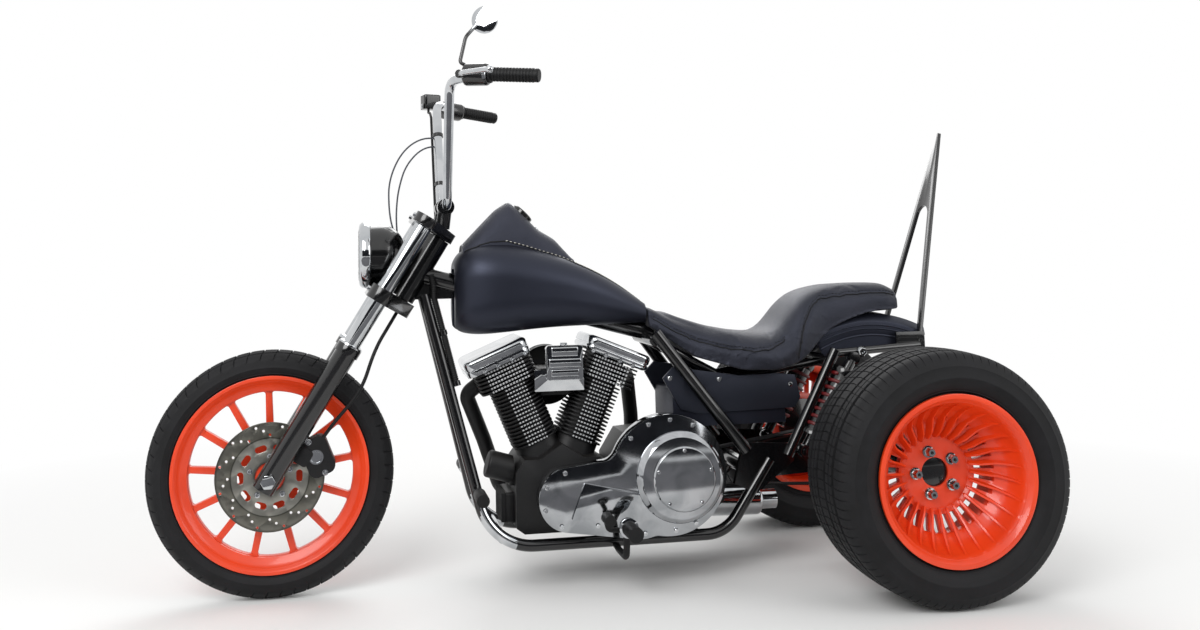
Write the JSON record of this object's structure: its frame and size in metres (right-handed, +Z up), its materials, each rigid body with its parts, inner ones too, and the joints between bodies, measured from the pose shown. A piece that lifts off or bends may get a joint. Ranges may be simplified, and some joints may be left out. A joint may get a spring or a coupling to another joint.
{
  "type": "motorized trike",
  "caption": "Three-wheeled motorcycle with a raked front fork, high handlebar, V-twin engine, stepped seat, pointed backrest bar and wide deep-dish rear wheels on a driven axle.",
  "frame": {"origin": "on the ground under the middle of the overall length and width", "axes": "+X towards the rear wheels, +Y to the rider's right, +Z up; it drives towards -X"},
  "size_m": [2.4019, 1.1502, 1.583],
  "materials": {
    "orange_enamel": "gloss",
    "black_enamel": "gloss",
    "matt_black_paint": "matt",
    "engine_black": "satin",
    "chrome_plate": "polished",
    "polished_alloy": "polished",
    "disc_steel": "ground",
    "tyre_rubber": "matt",
    "black_rubber": "matt",
    "seat_leather": "semi-matt",
    "lamp_glass": "clear",
    "red_lens": "gloss"
  },
  "bodies": {
    "frame": {"air_cleaner": "engine_black", "axle_housing": "black_enamel", "backrest": "black_enamel", "battery_box": "matt_black_paint", "clutch_cover": "chrome_plate", "coil_cover": "chrome_plate", "console": "seat_leather", "crankcase": "engine_black", "drive_belt": "black_rubber", "exhaust_pipes": "black_enamel", "foot_controls": "black_rubber", "frame_cradle": "black_enamel", "frame_spine": "black_enamel", "front_cylinder": "engine_black", "front_rocker_box": "polished_alloy", "fuel_tank": "matt_black_paint", "gearbox": "engine_black", "highway_pegs": "black_rubber", "oil_filter": "engine_black", "primary_cover": "polished_alloy", "pushrod_tubes": "chrome_plate", "rear_cylinder": "engine_black", "rear_fender": "matt_black_paint", "rear_rocker_box": "polished_alloy", "regulator": "engine_black", "seat": "seat_leather", "shocks": "black_enamel", "side_covers": "matt_black_paint", "silencer": "chrome_plate", "swing_arm": "black_enamel", "tail_lamp": "red_lens", "timing_cover": "polished_alloy"},
    "steering": {"lower_yoke": "black_enamel", "upper_yoke": "black_enamel", "fork_tubes": "chrome_plate", "fork_sliders": "black_enamel", "front_axle": "disc_steel", "caliper": "engine_black", "brake_hose": "black_rubber", "headlamp": "black_enamel", "headlamp_glass": "lamp_glass", "risers": "black_enamel", "handlebar": "chrome_plate", "grips": "black_rubber", "left_control": "matt_black_paint", "right_control": "matt_black_paint", "mirror": "chrome_plate"},
    "front_wheel": {"front_wheel": "orange_enamel", "front_tyre": "tyre_rubber", "front_disc": "disc_steel"},
    "rear_left_wheel": {"rear_wheel_left": "orange_enamel", "rear_tyre_left": "tyre_rubber", "rear_hub_left": "disc_steel"},
    "rear_right_wheel": {"rear_wheel_right": "orange_enamel", "rear_tyre_right": "tyre_rubber", "rear_hub_right": "disc_steel"}
  },
  "joints": [
    {"name": "steering", "type": "hinge", "parent": "frame", "child": "steering", "pos_m": [-0.81412, 0, 0.3042], "axis": [0.5299, 0, 0.848], "range_deg": [-35, 35]},
    {"name": "front_wheel_spin", "type": "hinge", "parent": "steering", "child": "front_wheel", "pos_m": [-0.865, 0, 0.336], "axis": [0, 1, 0], "continuous": true},
    {"name": "rear_left_spin", "type": "hinge", "parent": "frame", "child": "rear_left_wheel", "pos_m": [0.875, -0.45, 0.326], "axis": [0, 1, 0], "continuous": true},
    {"name": "rear_right_spin", "type": "hinge", "parent": "frame", "child": "rear_right_wheel", "pos_m": [0.875, 0.45, 0.326], "axis": [0, 1, 0], "continuous": true}
  ]
}
